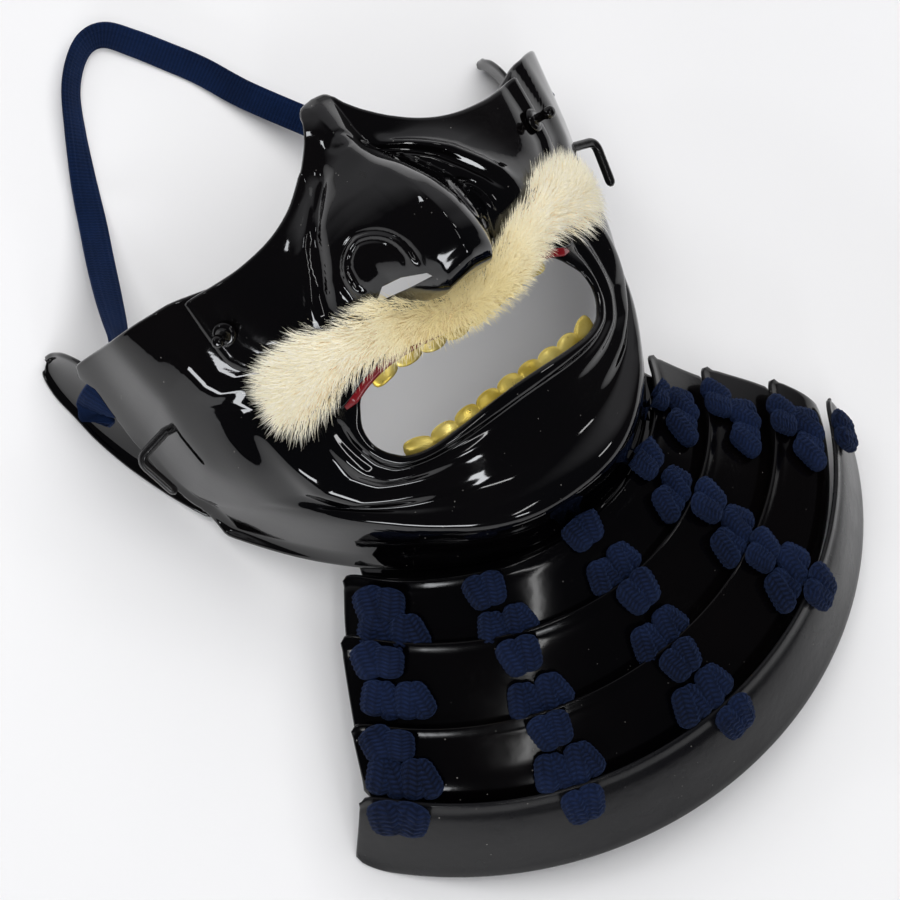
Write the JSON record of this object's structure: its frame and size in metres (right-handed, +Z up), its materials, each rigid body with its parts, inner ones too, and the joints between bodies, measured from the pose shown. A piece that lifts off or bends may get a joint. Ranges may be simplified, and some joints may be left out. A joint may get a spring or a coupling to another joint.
{
  "type": "samurai face guard",
  "caption": "Black lacquered half mask for the lower face, with a raised nose, a fur moustache, gilt teeth, a laced throat guard of hoops and a cloth strap.",
  "frame": {"origin": "centre of the object's footprint without its strap, on the table it lies on", "axes": "+X toward the wearer's left, which is the viewer's right; +Y from the throat guard toward the nose bridge; +Z up, out of the face, as it lies face up"},
  "size_m": [0.2038, 0.303, 0.1295],
  "materials": {
    "black_lacquer": "deep gloss black lacquer",
    "satin_black": "satin black lacquer on the lowest hoop",
    "gold_leaf": "bright gilding, slightly uneven",
    "red_lacquer": "smooth red lacquer",
    "blue_cord": "knitted dark blue lacing cord",
    "navy_strap": "ribbed navy flat braid",
    "cream_fur": "cream white animal hair, brownish at its roots"
  },
  "bodies": {
    "root": {"ear_plate_left": "black_lacquer", "ear_plate_right": "black_lacquer", "heart_1_1": "blue_cord", "heart_1_2": "blue_cord", "heart_1_3": "blue_cord", "heart_1_4": "blue_cord", "heart_1_5": "blue_cord", "heart_2_1": "blue_cord", "heart_2_2": "blue_cord", "heart_2_3": "blue_cord", "heart_2_4": "blue_cord", "heart_2_5": "blue_cord", "heart_3_1": "blue_cord", "heart_3_2": "blue_cord", "heart_3_3": "blue_cord", "heart_3_4": "blue_cord", "heart_3_5": "blue_cord", "heart_4_1": "blue_cord", "heart_4_2": "blue_cord", "heart_4_3": "blue_cord", "heart_4_4": "blue_cord", "heart_4_5": "blue_cord", "hook_left": "black_lacquer", "hook_right": "black_lacquer", "lame_1": "black_lacquer", "lame_2": "black_lacquer", "lame_3": "black_lacquer", "lame_4": "satin_black", "lower_plate": "black_lacquer", "lower_teeth": "gold_leaf", "moustache": "cream_fur", "neck_band": "black_lacquer", "nose_plate": "black_lacquer", "pair_1_1": "blue_cord", "pair_1_2": "blue_cord", "pair_1_3": "blue_cord", "pair_1_4": "blue_cord", "pair_1_5": "blue_cord", "pair_2_1": "blue_cord", "pair_2_2": "blue_cord", "pair_2_3": "blue_cord", "pair_2_4": "blue_cord", "pair_2_5": "blue_cord", "pair_3_1": "blue_cord", "pair_3_2": "blue_cord", "pair_3_3": "blue_cord", "pair_3_4": "blue_cord", "pair_3_5": "blue_cord", "strap": "navy_strap", "strap_turn_left": "navy_strap", "strap_turn_right": "navy_strap", "stud_left": "black_lacquer", "stud_right": "black_lacquer", "upper_lip": "red_lacquer", "upper_teeth": "gold_leaf"}
  },
  "joints": []
}
